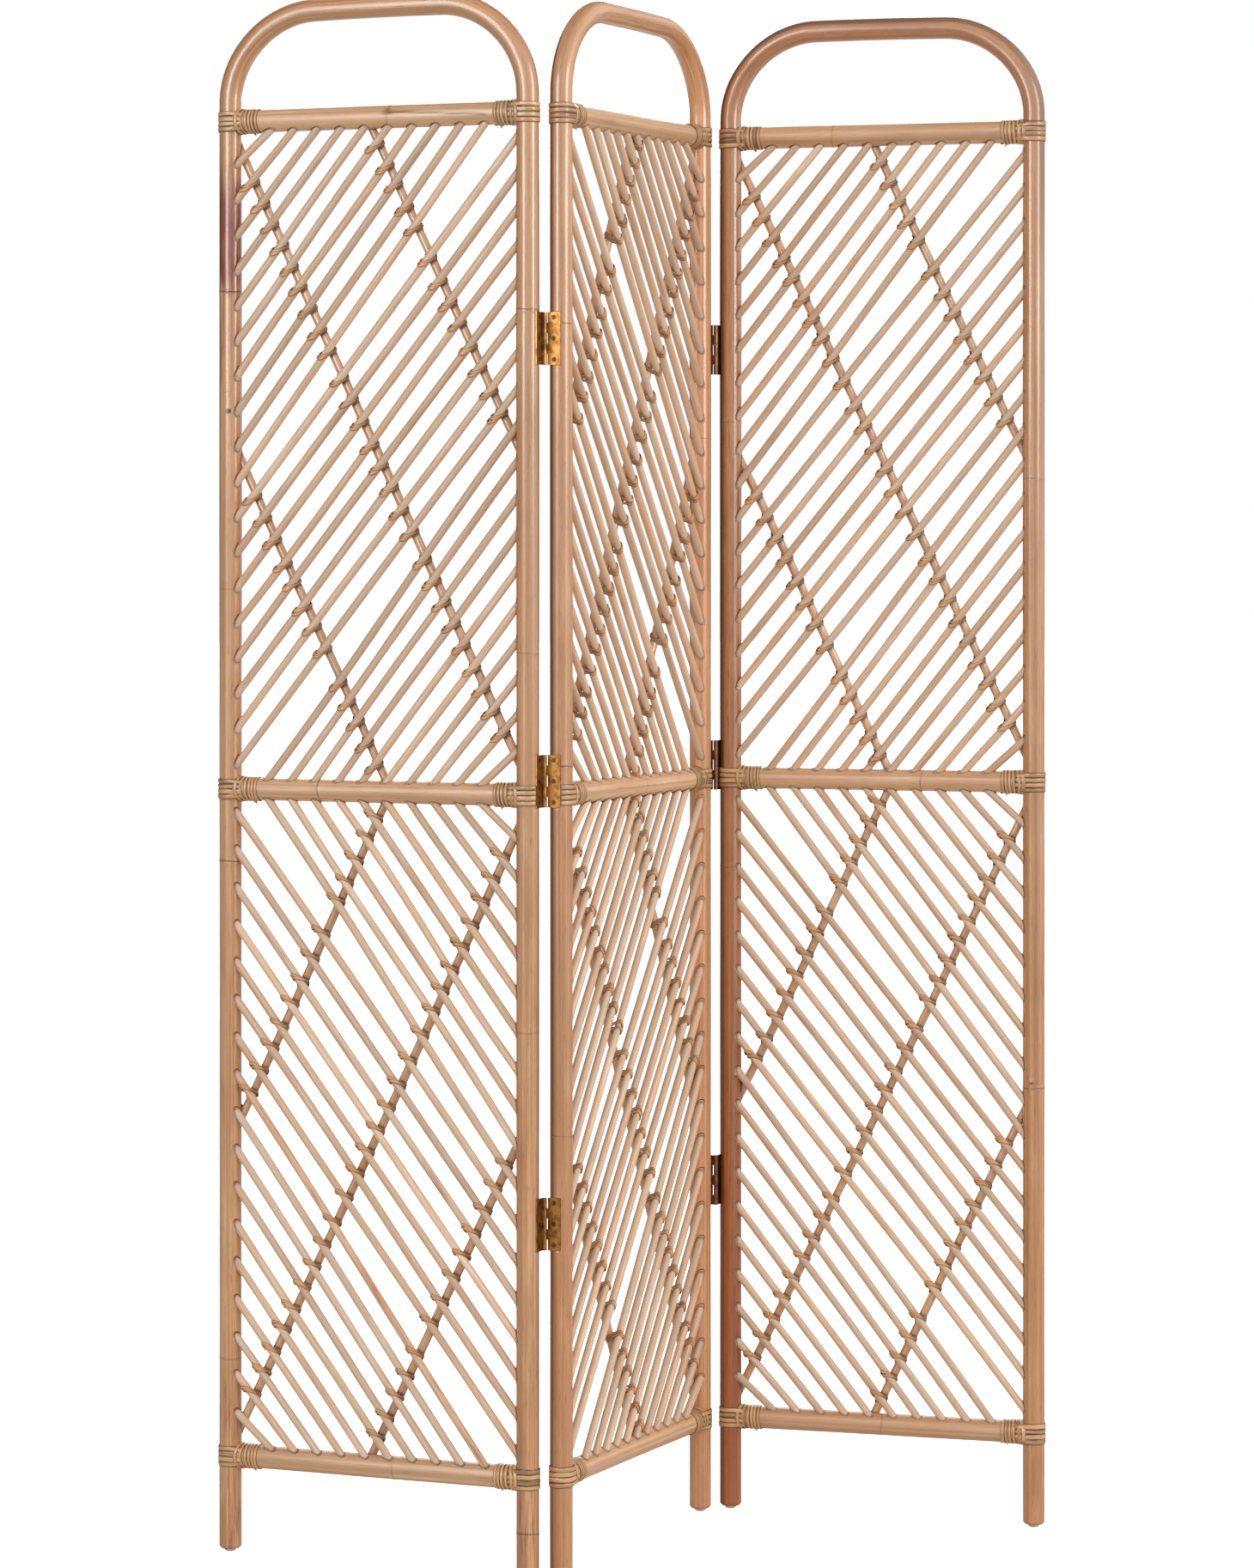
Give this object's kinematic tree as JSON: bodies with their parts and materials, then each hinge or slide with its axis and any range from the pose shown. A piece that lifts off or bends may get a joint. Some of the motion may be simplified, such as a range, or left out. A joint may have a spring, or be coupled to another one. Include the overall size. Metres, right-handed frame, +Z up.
{
  "type": "folding partition screen",
  "caption": "Free-standing folding partition screen of three hinged rattan panels, each an arched pole frame filled with diagonal slats and braces, on small floor glides.",
  "frame": {"origin": "on the floor, under the middle of the box round the standing screen", "axes": "+Z up, +X from the left end post to the right end post as seen from the front, +Y towards the back"},
  "size_m": [0.9852, 0.3625, 1.806],
  "materials": {
    "pole": "varnished round rattan pole, semi-gloss, tan to reddish brown with dark node rings",
    "rail": "varnished round rattan rail, semi-gloss, golden tan",
    "peeled_cane": "peeled rattan core slats, matt beige with faint pink and olive streaks",
    "glossy_cane": "unpeeled thin cane braces, glossy tan",
    "split_rattan": "split rattan lashings, satin golden brown",
    "rattan_tape": "flat rattan peel binding, glossy golden tan",
    "dowel": "bare hardwood",
    "glide": "pale translucent plastic, satin",
    "hinge": "brass plated steel, aged with orange-brown patina",
    "screw": "brass plated steel, darkened in the recess",
    "hinge_pin": "steel pin, dull"
  },
  "bodies": {
    "left_panel": {"left_arch_pole": "pole", "left_top_rail": "rail", "left_middle_rail": "rail", "left_bottom_rail": "rail", "left_upper_slats": "peeled_cane", "left_lower_slats": "peeled_cane", "left_upper_braces": "glossy_cane", "left_lower_braces": "glossy_cane", "left_cane_ties": "split_rattan", "left_rail_wraps": "rattan_tape", "left_post_straps": "rattan_tape", "left_rail_dowels": "dowel", "left_glides": "glide", "left_hinge_top_left_leaf": "hinge", "left_hinge_middle_left_leaf": "hinge", "left_hinge_bottom_left_leaf": "hinge", "left_hinge_left_screws": "screw"},
    "middle_panel": {"middle_arch_pole": "pole", "middle_top_rail": "rail", "middle_middle_rail": "rail", "middle_bottom_rail": "rail", "middle_upper_slats": "peeled_cane", "middle_lower_slats": "peeled_cane", "middle_upper_braces": "glossy_cane", "middle_lower_braces": "glossy_cane", "middle_cane_ties": "split_rattan", "middle_rail_wraps": "rattan_tape", "middle_post_straps": "rattan_tape", "middle_rail_dowels": "dowel", "middle_glides": "glide", "left_hinge_top_middle_leaf": "hinge", "left_hinge_middle_middle_leaf": "hinge", "left_hinge_bottom_middle_leaf": "hinge", "left_hinge_middle_screws": "screw", "left_hinge_pins": "hinge_pin", "right_hinge_top_middle_leaf": "hinge", "right_hinge_middle_middle_leaf": "hinge", "right_hinge_bottom_middle_leaf": "hinge", "right_hinge_middle_screws": "screw", "right_hinge_pins": "hinge_pin"},
    "right_panel": {"right_arch_pole": "pole", "right_top_rail": "rail", "right_middle_rail": "rail", "right_bottom_rail": "rail", "right_upper_slats": "peeled_cane", "right_lower_slats": "peeled_cane", "right_upper_braces": "glossy_cane", "right_lower_braces": "glossy_cane", "right_cane_ties": "split_rattan", "right_rail_wraps": "rattan_tape", "right_post_straps": "rattan_tape", "right_rail_dowels": "dowel", "right_glides": "glide", "right_hinge_top_right_leaf": "hinge", "right_hinge_middle_right_leaf": "hinge", "right_hinge_bottom_right_leaf": "hinge", "right_hinge_right_screws": "screw"}
  },
  "joints": [
    {"name": "left_fold", "type": "hinge", "parent": "middle_panel", "child": "left_panel", "pos_m": [-0.13005, -0.16148, 0], "axis": [0, 0, 1], "range_deg": [-86.75, 85.25]},
    {"name": "right_fold", "type": "hinge", "parent": "middle_panel", "child": "right_panel", "pos_m": [0.11672, 0.15987, 0], "axis": [0, 0, 1], "range_deg": [-91.5, 80.5]}
  ]
}
